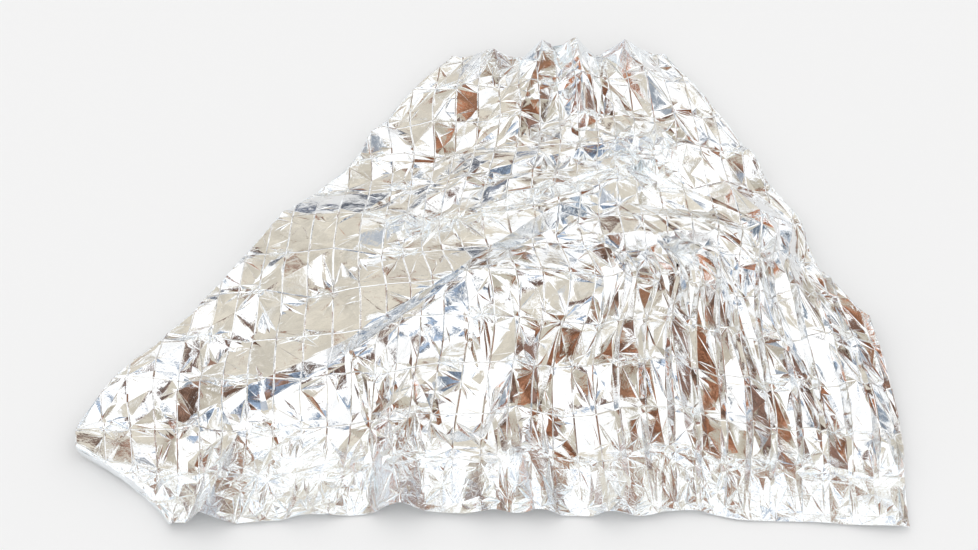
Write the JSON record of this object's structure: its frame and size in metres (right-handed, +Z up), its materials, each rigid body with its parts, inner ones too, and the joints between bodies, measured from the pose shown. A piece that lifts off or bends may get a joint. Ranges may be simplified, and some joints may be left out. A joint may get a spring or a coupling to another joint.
{
  "type": "emergency foil blanket",
  "caption": "Thin silver emergency blanket lying loose on the floor in creased panels and folds, with far corners turned under.",
  "frame": {"origin": "middle of the blanket's bounding box, on the floor it lies on", "axes": "+X along the near long edge, +Y from that edge to the gathered far edge, +Z up"},
  "size_m": [2.0593, 1.5824, 0.1323],
  "materials": {
    "foil": "mirror-bright, creased"
  },
  "bodies": {
    "root": {"blanket": "foil"}
  },
  "joints": []
}
